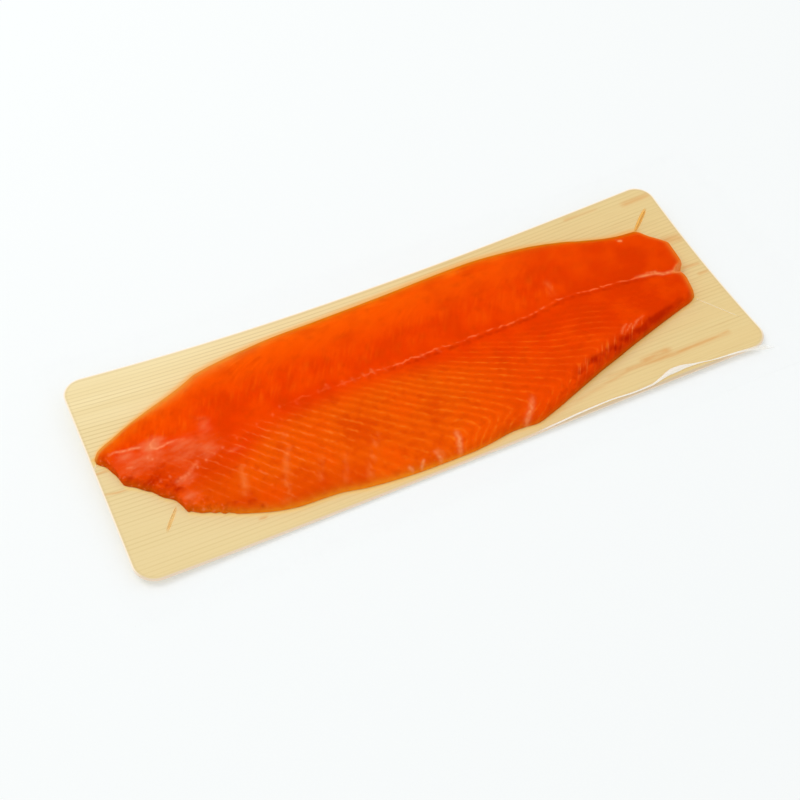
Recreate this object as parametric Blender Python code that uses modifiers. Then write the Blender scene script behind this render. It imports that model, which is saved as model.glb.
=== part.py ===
"""Vacuum-packed salmon fillet on its serving board.

Three pieces lie on each other: the clear pouch's under sheet with its sealed margins, the thin
board, and the fillet, skin side down. X runs along the board towards the tail, Y across it towards
the back of the fish, Z up. The origin is the middle of the board's flat spot, on the table.
"""

from math import pi

import bmesh
import bpy
import numpy as np

MM = 0.001
GAP = 0.3  # between pieces that lie on each other

# Serving board: a thin card with rounded corners, its ends curled up a little
BOARD_LENGTH = 463.0
BOARD_WIDTH = 170.0
BOARD_THICK = 1.2
BOARD_CORNER = 15.0
HEAD_CURL = (9.2, 3.6, -1.65)  # rise of the head end's edge: middle, tilt across, bow across
TAIL_CURL = (3.6, 5.6, 4.15)  # the same of the tail end's edge
SIDE_CURL = 1.25  # rise of the long edges at mid length
FLAT_SPOT = 0.45  # this much of the curl is pressed flat by the fillet's weight

# Pouch: two welded sheets, modelled as one
FILM_HEAD, FILM_TAIL = -245.0, 288.0
FILM_NEAR, FILM_FAR = -111.0, 116.0
FILM_THICK = 0.5
FILM_LIFT = 1.4  # how far the loose margin stands off the table
FILM_WAVE = 1.0
FILM_SAG = 0.4  # of the edge's height that the margin loses outwards

BOARD_BASE = FILM_THICK + GAP
FILLET_BASE = BOARD_BASE + BOARD_THICK + GAP

# Fillet: plan outline as offsets (x, y) of its two long edges, from head end to tail
BACK_EDGE = (
    (-228, 14), (-224, 19.5), (-212, 26.5), (-200, 33), (-190, 37.5), (-183, 40.5), (-172, 44.8),
    (-163, 48.4), (-154, 52.6), (-146, 56.5), (-119, 61.6), (-80, 65.4), (-50, 65.9), (-7, 67.4),
    (65, 70.1), (111, 66.3), (145, 58.5), (152, 55.7), (185, 46.9), (197, 45.9), (201, 45.4),
    (222, 45.2),
)
BELLY_EDGE = (
    (-228, 11), (-226, 8.5), (-222, 3.4), (-219, -4.2), (-217, -12.5), (-211, -16.5),
    (-202, -24), (-197, -30.5), (-191, -35), (-188.5, -40.5), (-187, -45.5), (-184, -47.8),
    (-170, -54.3), (-154, -62), (-130, -69.7), (-118, -71.4), (-105, -71.8), (-95, -72.4),
    (-74, -76.5), (-36, -79.8), (-4, -80.2), (12, -78.9), (30, -76.6), (38, -77), (46, -77.9),
    (62, -73.9), (78, -68.2), (95, -62), (111, -56.3), (125, -51.9), (140, -46.8), (175, -36.2),
    (190, -31.9), (202, -28.4), (206, -26), (222, -26),
)
TAIL_CUT = (  # x of the tail's cut against the place across, 0 at the belly and 1 at the back
    (0, 205.5), (0.07, 206.4), (0.15, 207.6), (0.23, 208.5), (0.275, 208.2), (0.33, 203.8),
    (0.39, 212.2), (0.45, 213.4), (0.56, 213.9), (0.66, 214.2), (0.71, 211.8), (0.775, 207.6),
    (0.83, 204.2), (0.88, 201.9), (0.94, 200.3), (1, 199.6),
)
HEAD_END = -228.0
MIDLINE = ((-228, 4), (-170, 1), (-100, -3), (-36, -4.4), (30, -4), (66, -2.8), (90, 0.2),
           (118, 4.4), (138, 2.4), (165, 1.4), (186, -1), (206, -6), (215, -8))
# Top of the belly side, below which its muscle segments lie
FLANK = ((-228, 4), (-100, 0), (80, 1.5), (125, 6), (155, 4.5), (185, 2), (215, -3))

# Thickness along the fillet: of the loin, of the belly edge and of the back's edge
LOIN = ((-228, 3.5), (-200, 8), (-160, 13), (-110, 18), (-50, 21), (20, 21), (80, 18), (130, 14.5),
        (170, 11.5), (200, 9.5), (220, 8.5))
BELLY = ((-228, 3), (-190, 5), (-130, 6.5), (0, 7), (70, 7.5), (110, 9.5), (150, 9), (190, 8),
         (220, 7))
BACK = ((-228, 3.5), (-180, 7), (-110, 12), (-20, 14.5), (70, 13.5), (140, 10.5), (190, 8.5),
        (220, 7.5))
BELLY_ROUND, BACK_ROUND, CUT_ROUND = 6.0, 11.0, 4.0
LOIN_PLACE = 0.62  # of the width, from the belly

# Relief
GROOVE_DEPTH, GROOVE_WIDTH = 0.7, 4.0  # along the midline
RIB_PLACES, RIB_DEPTH, RIB_WIDTH = (-150, -125, -65, -8), 0.5, 9.0
# Groove along the belly side of the tail: its distance from the edge
SIDE_GROOVE = ((60, 3), (90, 6.6), (121, 5.8), (168, 3.8), (200, 2))
SIDE_GROOVE_DEPTH, SIDE_GROOVE_WIDTH = 0.8, 2.4
CRAG_HEIGHT, CRAG_REACH = 0.5, 9.0  # on the torn rim of the head end
FLAKE_DEPTH = 0.3  # low ridges, each two muscle segments wide
# Muscle segments of the belly: how many from the head end along a line 40 mm below the flank's
# top, how many more per millimetre up from there, and how that changes
WALL_COUNT = ((-228, -9.6), (-150, 0), (-90, 7), (-60, 10.3), (0, 16.6), (30, 19.5), (60, 22.1),
              (100, 25.1), (150, 28.3))
WALL_LEAN = ((-220, 0.12), (-150, 0.14), (-60, 0.19), (0, 0.25), (40, 0.3), (90, 0.25), (150, 0.22))
WALL_BEND = ((-220, 0.5), (-150, 0.7), (-60, 1.6), (0, 1.9), (40, 3.0), (90, 1.5), (150, 1.0))
HOOK_PLACE, HOOK = 12.0, 0.28  # this far from the belly's edge they hook back

STATIONS, ACROSS, UNDER = 124, 34, 7


def curve(points):
    """A smooth curve through points, without overshoot."""
    x, y = (np.array(c, float) for c in zip(*points))
    rise = np.diff(y) / np.diff(x)
    slope = np.concatenate([rise[:1], np.zeros(len(x) - 2), rise[-1:]])
    same = rise[:-1] * rise[1:] > 0
    both = rise[:-1] + rise[1:]
    slope[1:-1][same] = 2 * (rise[:-1] * rise[1:])[same] / both[same]

    def at(q):
        q = np.clip(np.asarray(q, float), x[0], x[-1])
        i = np.clip(np.searchsorted(x, q) - 1, 0, len(x) - 2)
        h = x[i + 1] - x[i]
        t = (q - x[i]) / h
        return (
            (2 * t**3 - 3 * t**2 + 1) * y[i] + (t**3 - 2 * t**2 + t) * h * slope[i]
            + (3 * t**2 - 2 * t**3) * y[i + 1] + (t**3 - t**2) * h * slope[i + 1]
        )

    return at


def bump(q, width):
    return np.exp(-(q / width) ** 2)


def ease(t):
    t = np.clip(t, 0, 1)
    return t * t * (3 - 2 * t)


def rounded(distance, radius):
    """Rise of a quarter-round edge, 0 at the edge and 1 from radius on."""
    return np.sqrt(1 - (1 - np.clip(distance / radius, 0, 1)) ** 2)


def curl(x, y):
    """How far the curled board stands off the table; it is flat round the origin."""
    u = np.clip(x / (BOARD_LENGTH / 2), -1, 1)
    v = np.clip(y / (BOARD_WIDTH / 2), -1, 1)
    head = HEAD_CURL[0] + HEAD_CURL[1] * v + HEAD_CURL[2] * v * v
    tail = TAIL_CURL[0] + TAIL_CURL[1] * v + TAIL_CURL[2] * v * v
    ends = u * u * (head * (1 - u) + tail * (1 + u)) / 2
    sides = (1 - u * u) * v * ((SIDE_CURL + 2.9 * u) * v + u)
    return np.maximum(ends + sides - FLAT_SPOT, 0)


def film_height(x, y):
    """The under sheet follows the board; past its edges it sags towards the table."""
    out = np.hypot(
        np.maximum(abs(x) - BOARD_LENGTH / 2, 0), np.maximum(abs(y) - BOARD_WIDTH / 2, 0)
    )
    sag = FILM_SAG * ease(out / 30)
    waves = np.sin(x / 23 + 0.6) * np.sin(y / 31 + x / 90 + 1.1)
    return curl(x, y) * (1 - sag) + (FILM_LIFT + FILM_WAVE * waves) * ease(out / 12)


def new_object(name, bm, colour, roughness, alpha=1.0):
    mesh = bpy.data.meshes.new(name)
    bm.to_mesh(mesh)
    bm.free()
    mesh.shade_smooth()
    material = bpy.data.materials.new(name)
    material.use_nodes = True
    shader = material.node_tree.nodes["Principled BSDF"]
    shader.inputs["Base Color"].default_value = (*colour, 1)
    shader.inputs["Roughness"].default_value = roughness
    shader.inputs["Metallic"].default_value = 0.0
    shader.inputs["Alpha"].default_value = alpha
    mesh.materials.append(material)
    obj = bpy.data.objects.new(name, mesh)
    parts.objects.link(obj)
    return obj


def sheet(name, xs, half_width, ys, height, thick, colour, roughness, alpha=1.0):
    """An open grid over the plan, then Solidify upwards."""
    bpy.ops.mesh.primitive_grid_add(x_subdivisions=len(xs) - 1, y_subdivisions=len(ys) - 1, size=2)
    grid = bpy.context.object
    bm = bmesh.new()
    bm.from_mesh(grid.data)
    bpy.data.objects.remove(grid)
    for vert in bm.verts:
        i = round((vert.co.x + 1) / 2 * (len(xs) - 1))
        j = round((vert.co.y + 1) / 2 * (len(ys) - 1))
        x = xs[i]
        y = ys[j] * half_width(x)
        vert.co = (x * MM, y * MM, float(height(x, y)) * MM)
    obj = new_object(name, bm, colour, roughness, alpha)
    solid = obj.modifiers.new("thickness", "SOLIDIFY")
    solid.thickness = thick * MM
    solid.offset = 1
    return obj


def board_half_width(x):
    past = abs(x) - (BOARD_LENGTH / 2 - BOARD_CORNER)
    if past <= 0:
        return BOARD_WIDTH / 2
    return BOARD_WIDTH / 2 - BOARD_CORNER + max(BOARD_CORNER**2 - past**2, 0) ** 0.5


def make_board():
    straight = BOARD_LENGTH / 2 - BOARD_CORNER
    arc = straight + BOARD_CORNER * np.sin(np.linspace(0, pi / 2, 6)[1:])
    xs = np.concatenate([-arc[::-1], np.linspace(-straight, straight, 21), arc])
    return sheet(
        "board", xs, board_half_width, np.linspace(-1, 1, 9),
        lambda x, y: curl(x, y) + BOARD_BASE, BOARD_THICK, (0.83, 0.66, 0.38), 0.55,
    )


def make_film():
    end = BOARD_LENGTH / 2
    xs = np.concatenate([
        np.linspace(FILM_HEAD, -end, 3)[:-1], np.linspace(-end, end, 27),
        np.linspace(end, FILM_TAIL, 7)[1:],
    ])
    side = BOARD_WIDTH / 2
    ys = np.concatenate([
        np.linspace(FILM_NEAR, -side, 4)[:-1], np.linspace(-side, side, 9),
        np.linspace(side, FILM_FAR, 4)[1:],
    ])
    return sheet(
        "film", xs, lambda x: 1.0, ys, film_height, FILM_THICK, (0.9, 0.9, 0.9), 0.1, 0.25
    )


back_edge, belly_edge, tail_cut = curve(BACK_EDGE), curve(BELLY_EDGE), curve(TAIL_CUT)
loin, belly, back, midline = curve(LOIN), curve(BELLY), curve(BACK), curve(MIDLINE)
flank, side_groove = curve(FLANK), curve(SIDE_GROOVE)
wall_count, wall_lean, wall_bend = curve(WALL_COUNT), curve(WALL_LEAN), curve(WALL_BEND)


def plan(along, across):
    """x and y of a place on the fillet: along 0 head to 1 tail, across 0 belly to 1 back."""
    x = HEAD_END + along * (tail_cut(across) - HEAD_END)
    near = belly_edge(x)
    return x, near + across * (back_edge(x) - near)


def segments(x, y):
    """Count of the muscle segments at a place of the belly side."""
    depth = np.maximum(flank(x) - y, 0)
    inside = HOOK_PLACE - (y - belly_edge(x))
    past = (inside + np.hypot(inside, 2)) / 2 * ease((x + 30) / 40)
    bend = wall_bend(x) * 0.001 * (depth**2 - 1600) / 2
    return wall_count(x) - wall_lean(x) * (depth - 40) + bend + HOOK * past


def crags(x, y):
    """Torn bumps, from -1 to 1, along the rim of the head end."""
    rough = np.sin(x / 1.6 + 2 * np.sin(y / 5)) * np.sin(y / 1.9 + x / 7)
    return rough * ease((-x - 145) / 25) * bump(y - belly_edge(x), CRAG_REACH)


def thickness(x, y, across):
    """Height of the flesh over the board."""
    near, far = belly_edge(x), back_edge(x)
    rising = belly(x) + (loin(x) - belly(x)) * ease(across / LOIN_PLACE)
    falling = loin(x) - (loin(x) - back(x)) * np.clip((across - LOIN_PLACE) / 0.38, 0, 1) ** 2
    body = np.where(across < LOIN_PLACE, rising, falling)
    body = body - GROOVE_DEPTH * bump(y - midline(x), GROOVE_WIDTH) * ease((x + 120) / 120)
    for place in RIB_PLACES:
        lean = place + 0.15 * (y + 30)
        body = body - RIB_DEPTH * bump(x - lean, RIB_WIDTH) * ease((20 - y) / 50)
    groove = bump(y - near - side_groove(x), SIDE_GROOVE_WIDTH)
    body = body - SIDE_GROOVE_DEPTH * groove * ease((x - 65) / 20) * ease((203 - x) / 15)
    body = body + FLAKE_DEPTH * np.sin(pi * segments(x, y)) * ease((flank(x) - y) / 25)
    body = body + CRAG_HEIGHT * crags(x, y)
    inside = np.minimum(y - near, 40.0)
    width = far - near
    edge = rounded(inside, np.minimum(BELLY_ROUND, width / 2))
    edge = edge * rounded(far - y, np.minimum(BACK_ROUND, width / 2))
    edge = edge * rounded(tail_cut(across) - x + 0.8, CUT_ROUND)
    return body * edge * rounded(x - HEAD_END + 1.0, 8.0)


def zip_rows(bm, first, second):
    """Triangles between two rows of vertices that share their first and last one."""
    i = j = 0
    while i < len(first) - 1 or j < len(second) - 1:
        ahead = i / (len(first) - 1) <= j / (len(second) - 1)
        if ahead and i < len(first) - 1:
            corner = (first[i], first[i + 1], second[j])
            i += 1
        else:
            corner = (first[i], second[j + 1], second[j])
            j += 1
        if len(set(corner)) == 3:
            bm.faces.new(corner)


def make_fillet():
    """A loft of unlike sections, each a crowned top over a bottom that lies on the board."""
    # finer rows at both edges and on the belly side, where the ridges are
    step = np.linspace(0, 1, ACROSS)
    across = 0.4 * (1 - np.cos(pi * step)) / 2 + 0.6 * step - 0.07 * np.sin(pi * step) ** 2
    under = np.linspace(0, 1, UNDER)
    # finer stations at both ends, where the outline turns
    even = np.linspace(0, 1, STATIONS)
    along = 0.8 * even + 0.2 * (1 - np.cos(pi * even)) / 2
    bm = bmesh.new()
    tops, unders = [], []
    for place in along:
        x, y = plan(place, across)
        top = curl(x, y) + FILLET_BASE + thickness(x, y, across)
        row = [bm.verts.new((a * MM, b * MM, c * MM)) for a, b, c in zip(x, y, top)]
        tops.append(row)
        x, y = plan(place, under)
        low = curl(x, y) + FILLET_BASE
        inner = [bm.verts.new((a * MM, b * MM, c * MM)) for a, b, c in zip(x, y, low)][1:-1]
        unders.append([row[0], *inner, row[-1]])
    bm.verts.ensure_lookup_table()
    for rows in (tops, unders):
        for one, two in zip(rows, rows[1:]):
            for a, b, c, d in zip(one, one[1:], two[1:], two):
                bm.faces.new((a, b, c, d))
    zip_rows(bm, tops[0], unders[0])
    zip_rows(bm, tops[-1], unders[-1])
    loose = [v for v in bm.verts if not v.link_faces]
    bmesh.ops.delete(bm, geom=loose, context="VERTS")
    bmesh.ops.triangulate(bm, faces=bm.faces)
    bmesh.ops.recalc_face_normals(bm, faces=bm.faces)
    return new_object("fillet", bm, (0.82, 0.13, 0.012), 0.25)


for old in list(bpy.data.objects):
    bpy.data.objects.remove(old)
parts = bpy.data.collections.new("salmon fillet")
bpy.context.scene.collection.children.link(parts)

root = bpy.data.objects.new("pack", None)
parts.objects.link(root)
for piece in (make_film(), make_board(), make_fillet()):
    piece.parent = root
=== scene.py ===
"""Raw side of salmon on its printed card board, vacuum packed in a clear pouch.

X runs along the board towards the tail, Y across it towards the back of the fish, Z up from the
table. Sizes are in millimetres until they go into a mesh.
"""

from functools import partial

import bpy
import numpy as np
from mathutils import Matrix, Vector


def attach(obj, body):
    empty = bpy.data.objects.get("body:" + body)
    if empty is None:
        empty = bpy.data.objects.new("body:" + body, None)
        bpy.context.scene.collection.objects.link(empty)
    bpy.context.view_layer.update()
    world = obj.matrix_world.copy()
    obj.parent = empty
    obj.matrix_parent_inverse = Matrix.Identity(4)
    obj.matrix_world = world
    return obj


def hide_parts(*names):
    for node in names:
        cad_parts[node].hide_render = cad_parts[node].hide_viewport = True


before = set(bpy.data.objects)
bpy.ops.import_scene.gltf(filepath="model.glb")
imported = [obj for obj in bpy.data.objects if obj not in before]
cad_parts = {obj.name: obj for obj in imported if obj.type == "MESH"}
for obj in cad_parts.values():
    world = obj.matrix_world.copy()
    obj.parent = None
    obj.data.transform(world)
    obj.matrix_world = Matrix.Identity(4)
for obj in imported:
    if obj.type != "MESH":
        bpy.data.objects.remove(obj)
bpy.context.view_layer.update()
bpy.context.scene.view_settings.view_transform = "Standard"

MM = 0.001
GAP = 0.3  # between pieces that lie on each other

# Serving board
BOARD_LENGTH, BOARD_WIDTH, BOARD_THICK, BOARD_CORNER = 463.0, 170.0, 1.2, 15.0
HEAD_CURL = (9.2, 3.6, -1.65)  # rise of the head end's edge: middle, tilt across, bow across
TAIL_CURL = (3.6, 5.6, 4.15)  # the same of the tail end's edge
SIDE_CURL, SIDE_TURN = 1.25, 2.9  # rise of the long edges at mid length, its change along X
FLAT_SPOT = 0.45  # this much of the curl is pressed flat by the fillet's weight

# Pouch
FILM_HEAD, FILM_TAIL = -245.0, 288.0
FILM_NEAR, FILM_FAR = -111.0, 116.0
# how far the loose margin stands off the table, its waves, what it loses of the edge's height
FILM_LIFT, FILM_WAVE, FILM_SAG = 1.4, 1.0, 0.4
BOARD_BASE = 0.8  # the solids' 0.5 mm sheet and the gap over it
BOARD_TOP = BOARD_BASE + BOARD_THICK
FILLET_BASE = BOARD_TOP + GAP

# Fillet: its two long edges in plan, the tail's cut as x against the place across, the midline,
# and how thick the flesh is
BACK_EDGE = (
    (-228, 14), (-224, 19.5), (-212, 26.5), (-200, 33), (-190, 37.5), (-183, 40.5), (-172, 44.8),
    (-163, 48.4), (-154, 52.6), (-146, 56.5), (-119, 61.6), (-80, 65.4), (-50, 65.9), (-7, 67.4),
    (65, 70.1), (111, 66.3), (145, 58.5), (152, 55.7), (185, 46.9), (197, 45.9), (201, 45.4),
    (222, 45.2),
)
BELLY_EDGE = (
    (-228, 11), (-226, 8.5), (-222, 3.4), (-219, -4.2), (-217, -12.5), (-211, -16.5),
    (-202, -24), (-197, -30.5), (-191, -35), (-188.5, -40.5), (-187, -45.5), (-184, -47.8),
    (-170, -54.3), (-154, -62), (-130, -69.7), (-118, -71.4), (-105, -71.8), (-95, -72.4),
    (-74, -76.5), (-36, -79.8), (-4, -80.2), (12, -78.9), (30, -76.6), (38, -77), (46, -77.9),
    (62, -73.9), (78, -68.2), (95, -62), (111, -56.3), (125, -51.9), (140, -46.8), (175, -36.2),
    (190, -31.9), (202, -28.4), (206, -26), (222, -26),
)
TAIL_CUT = (
    (0, 205.5), (0.07, 206.4), (0.15, 207.6), (0.23, 208.5), (0.275, 208.2), (0.33, 203.8),
    (0.39, 212.2), (0.45, 213.4), (0.56, 213.9), (0.66, 214.2), (0.71, 211.8), (0.775, 207.6),
    (0.83, 204.2), (0.88, 201.9), (0.94, 200.3), (1, 199.6),
)
HEAD_END = -228.0
MIDLINE = ((-228, 4), (-170, 1), (-100, -3), (-36, -4.4), (30, -4), (66, -2.8), (90, 0.2),
           (118, 4.4), (138, 2.4), (165, 1.4), (186, -1), (206, -6), (215, -8))
# Top of the belly side, below which its muscle segments lie
FLANK = ((-228, 4), (-100, 0), (80, 1.5), (125, 6), (155, 4.5), (185, 2), (215, -3))
LOIN = ((-228, 3.5), (-200, 8), (-160, 13), (-110, 18), (-50, 21), (20, 21), (80, 18), (130, 14.5),
        (170, 11.5), (200, 9.5), (220, 8.5))
BELLY = ((-228, 3), (-190, 5), (-130, 6.5), (0, 7), (70, 7.5), (110, 9.5), (150, 9), (190, 8),
         (220, 7))
BACK = ((-228, 3.5), (-180, 7), (-110, 12), (-20, 14.5), (70, 13.5), (140, 10.5), (190, 8.5),
        (220, 7.5))
BELLY_ROUND, BACK_ROUND, CUT_ROUND, LOIN_PLACE = 6.0, 11.0, 4.0, 0.62

# Relief of the flesh
GROOVE_DEPTH, GROOVE_WIDTH = 0.7, 4.0  # along the midline
RIB_PLACES, RIB_DEPTH, RIB_WIDTH = (-150, -125, -65, -8), 0.5, 9.0
# Groove along the belly side of the tail: its distance from the edge
SIDE_GROOVE = ((60, 3), (90, 6.6), (121, 5.8), (168, 3.8), (200, 2))
SIDE_GROOVE_DEPTH, SIDE_GROOVE_WIDTH = 0.8, 2.4
CRAG_HEIGHT, CRAG_REACH = 0.5, 9.0  # on the torn rim of the head end
FLAKE_DEPTH = 0.2  # ridges, finer than the solid's: one for each muscle segment
# Muscle segments of the belly: how many from the head end along a line 40 mm below the flank's
# top, how many more per millimetre up from there, and how that changes
WALL_COUNT = ((-228, -9.6), (-150, 0), (-90, 7), (-60, 10.3), (0, 16.6), (30, 19.5), (60, 22.1),
              (100, 25.1), (150, 28.3))
WALL_LEAN = ((-220, 0.12), (-150, 0.14), (-60, 0.19), (0, 0.25), (40, 0.3), (90, 0.25), (150, 0.22))
WALL_BEND = ((-220, 0.5), (-150, 0.7), (-60, 1.6), (0, 1.9), (40, 3.0), (90, 1.5), (150, 1.0))
HOOK_PLACE, HOOK = 12.0, 0.28  # this far from the belly's edge they hook back


# --- Shapes shared with the solids -----------------------------------------------------------


def curve(points):
    """A smooth curve through points, without overshoot."""
    x, y = (np.array(c, float) for c in zip(*points))
    rise = np.diff(y) / np.diff(x)
    slope = np.concatenate([rise[:1], np.zeros(len(x) - 2), rise[-1:]])
    same = rise[:-1] * rise[1:] > 0
    both = rise[:-1] + rise[1:]
    slope[1:-1][same] = 2 * (rise[:-1] * rise[1:])[same] / both[same]

    def at(q):
        q = np.clip(np.asarray(q, float), x[0], x[-1])
        i = np.clip(np.searchsorted(x, q) - 1, 0, len(x) - 2)
        h = x[i + 1] - x[i]
        t = (q - x[i]) / h
        return (
            (2 * t**3 - 3 * t**2 + 1) * y[i] + (t**3 - 2 * t**2 + t) * h * slope[i]
            + (3 * t**2 - 2 * t**3) * y[i + 1] + (t**3 - t**2) * h * slope[i + 1]
        )

    return at


def bump(q, width):
    return np.exp(-(q / width) ** 2)


def ease(t):
    t = np.clip(t, 0, 1)
    return t * t * (3 - 2 * t)


def rounded(distance, radius):
    """Rise of a quarter-round edge, 0 at the edge and 1 from radius on."""
    return np.sqrt(1 - (1 - np.clip(distance / radius, 0, 1)) ** 2)


def curl(x, y):
    """How far the curled board stands off the table; it is flat round the origin."""
    u = np.clip(x / (BOARD_LENGTH / 2), -1, 1)
    v = np.clip(y / (BOARD_WIDTH / 2), -1, 1)
    head = HEAD_CURL[0] + HEAD_CURL[1] * v + HEAD_CURL[2] * v * v
    tail = TAIL_CURL[0] + TAIL_CURL[1] * v + TAIL_CURL[2] * v * v
    ends = u * u * (head * (1 - u) + tail * (1 + u)) / 2
    sides = (1 - u * u) * v * ((SIDE_CURL + SIDE_TURN * u) * v + u)
    return np.maximum(ends + sides - FLAT_SPOT, 0)


def off_board(x, y):
    """Distance outside the board's rectangle."""
    return np.hypot(
        np.maximum(abs(x) - BOARD_LENGTH / 2, 0), np.maximum(abs(y) - BOARD_WIDTH / 2, 0)
    )


def film_height(x, y):
    """The under sheet follows the board; past its edges it sags towards the table."""
    out = off_board(x, y)
    waves = np.sin(x / 23 + 0.6) * np.sin(y / 31 + x / 90 + 1.1)
    sag = FILM_SAG * ease(out / 30)
    return curl(x, y) * (1 - sag) + (FILM_LIFT + FILM_WAVE * waves) * ease(out / 12)


back_edge, belly_edge, tail_cut = curve(BACK_EDGE), curve(BELLY_EDGE), curve(TAIL_CUT)
loin, belly, back, midline = curve(LOIN), curve(BELLY), curve(BACK), curve(MIDLINE)
flank, side_groove = curve(FLANK), curve(SIDE_GROOVE)
wall_count, wall_lean, wall_bend = curve(WALL_COUNT), curve(WALL_LEAN), curve(WALL_BEND)


def plan(along, across):
    """x and y of a place on the fillet: along 0 head to 1 tail, across 0 belly to 1 back."""
    x = HEAD_END + along * (tail_cut(across) - HEAD_END)
    near = belly_edge(x)
    return x, near + across * (back_edge(x) - near)


def segments(x, y):
    """Count of the muscle segments at a place of the belly side."""
    depth = np.maximum(flank(x) - y, 0)
    inside = HOOK_PLACE - (y - belly_edge(x))
    past = (inside + np.hypot(inside, 2)) / 2 * ease((x + 30) / 40)
    bend = wall_bend(x) * 0.001 * (depth**2 - 1600) / 2
    return wall_count(x) - wall_lean(x) * (depth - 40) + bend + HOOK * past


def ragged_rim(x, y):
    """How far a place belongs to the torn rim of the head end."""
    return ease((-x - 145) / 25) * bump(y - belly_edge(x), CRAG_REACH)


def crags(x, y):
    """Torn bumps, from -1 to 1, along the rim of the head end."""
    return np.sin(x / 1.6 + 2 * np.sin(y / 5)) * np.sin(y / 1.9 + x / 7) * ragged_rim(x, y)


def thickness(x, y, across):
    """Height of the flesh over the board."""
    near, far = belly_edge(x), back_edge(x)
    rising = belly(x) + (loin(x) - belly(x)) * ease(across / LOIN_PLACE)
    falling = loin(x) - (loin(x) - back(x)) * np.clip((across - LOIN_PLACE) / 0.38, 0, 1) ** 2
    body = np.where(across < LOIN_PLACE, rising, falling)
    body = body - GROOVE_DEPTH * bump(y - midline(x), GROOVE_WIDTH) * ease((x + 120) / 120)
    for place in RIB_PLACES:
        lean = place + 0.15 * (y + 30)
        body = body - RIB_DEPTH * bump(x - lean, RIB_WIDTH) * ease((20 - y) / 50)
    groove = bump(y - near - side_groove(x), SIDE_GROOVE_WIDTH)
    body = body - SIDE_GROOVE_DEPTH * groove * ease((x - 65) / 20) * ease((203 - x) / 15)
    body = body + FLAKE_DEPTH * np.sin(2 * np.pi * segments(x, y)) * ease((flank(x) - y) / 25)
    body = body + CRAG_HEIGHT * crags(x, y)
    width = far - near
    edge = rounded(np.minimum(y - near, 40.0), np.minimum(BELLY_ROUND, width / 2))
    edge = edge * rounded(far - y, np.minimum(BACK_ROUND, width / 2))
    edge = edge * rounded(tail_cut(across) - x + 0.8, CUT_ROUND)
    return body * edge * rounded(x - HEAD_END + 1.0, 8.0)


def fillet_top(x, y):
    """Height of whatever lies on the board: the fillet inside its outline, else the board."""
    near, far = belly_edge(x), back_edge(x)
    across = np.clip((y - near) / np.maximum(far - near, 1), 0, 1)
    inside = (y > near) & (y < far) & (x > HEAD_END) & (x < tail_cut(across))
    board = np.where(off_board(x, y) > 0, film_height(x, y), curl(x, y) + BOARD_TOP)
    return np.where(inside, curl(x, y) + FILLET_BASE + thickness(x, y, across), board)


# --- Tools ------------------------------------------------------------------------------------


def hex_colour(code):
    """Linear RGBA of an sRGB hex colour."""
    values = [int(code[i:i + 2], 16) / 255 for i in (1, 3, 5)]
    return (*(v / 12.92 if v <= 0.04045 else ((v + 0.055) / 1.055) ** 2.4 for v in values), 1)


def node(tree, kind, inputs=None, out=0, **settings):
    """Adds a shader node and gives back one of its outputs. Each input is a socket to link, a hex
    colour or a value to set."""
    made = tree.nodes.new("ShaderNode" + kind)
    for name, value in settings.items():
        setattr(made, name, value)
    for name, value in (inputs or {}).items():
        if isinstance(value, bpy.types.NodeSocket):
            tree.links.new(value, made.inputs[name])
        else:
            coded = isinstance(value, str)
            made.inputs[name].default_value = hex_colour(value) if coded else value
    return made.outputs[out] if made.outputs else None


def new_material(name):
    """An empty material, and the node helper bound to it."""
    material = bpy.data.materials.new(name)
    material.use_nodes = True
    material.node_tree.nodes.clear()
    return material, partial(node, material.node_tree)


EASED = {"interpolation_type": "SMOOTHSTEP"}
TINT = {"out": 2, "data_type": "RGBA"}


def blotches(add, size, detail=2.0, along=None):
    """A random pattern with blotches of about this many millimetres, or so many along each axis.
    It lies in the piece's own place, or in the stored vector that it is given."""
    place = along or add("TexCoord", out="Object")
    sizes = size if isinstance(size, tuple) else (size,) * 3
    fitted = add("Mapping", {"Vector": place, "Scale": [1000 / s for s in sizes]})
    return add("TexNoise", {"Vector": fitted, "Scale": 1.0, "Detail": detail}, out="Fac")


def patches(add, size, low, high, bottom=0.0, top=1.0, detail=2.0, along=None):
    """Blotches that fade in between low and high of their pattern."""
    pattern = blotches(add, size, detail, along)
    return add("MapRange", {0: pattern, 1: low, 2: high, 3: bottom, 4: top}, **EASED)


def painted(add, colour, coats):
    """Lays coats over a colour, each as far as its mask says."""
    for mask, coat in coats:
        colour = add("Mix", {0: mask, 6: colour, 7: coat}, **TINT)
    return colour


def flat_grid(name, columns, rows):
    """A square sheet of faces from -1 to 1, its vertices in rows from the near left corner."""
    bpy.ops.object.select_all(action="DESELECT")
    bpy.ops.mesh.primitive_grid_add(x_subdivisions=columns, y_subdivisions=rows, size=2)
    made = bpy.context.object
    made.name = made.data.name = name
    return made


def corners(obj):
    """Its vertices as an array."""
    flat = np.empty(len(obj.data.vertices) * 3, np.float32)
    obj.data.vertices.foreach_get("co", flat)
    return flat.reshape(-1, 3).astype(float)


def shape(obj, x, y, z):
    """Moves its vertices to places in millimetres."""
    obj.data.vertices.foreach_set("co", (np.stack([x, y, z], 1) * MM).astype(np.float32).ravel())
    obj.data.update()


def thicken(obj, name, thickness):
    """Gives a flat sheet its thickness, upwards."""
    wall = obj.modifiers.new(name, "SOLIDIFY")
    wall.thickness, wall.offset = thickness * MM, 1
    bpy.context.view_layer.objects.active = obj
    bpy.ops.object.modifier_apply(modifier=wall.name)


def mark(obj, name, values):
    """Stores a number for each vertex, for the material to read."""
    kept = obj.data.attributes.new(name, "FLOAT", "POINT")
    kept.data.foreach_set("value", np.asarray(values, np.float32))


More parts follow.
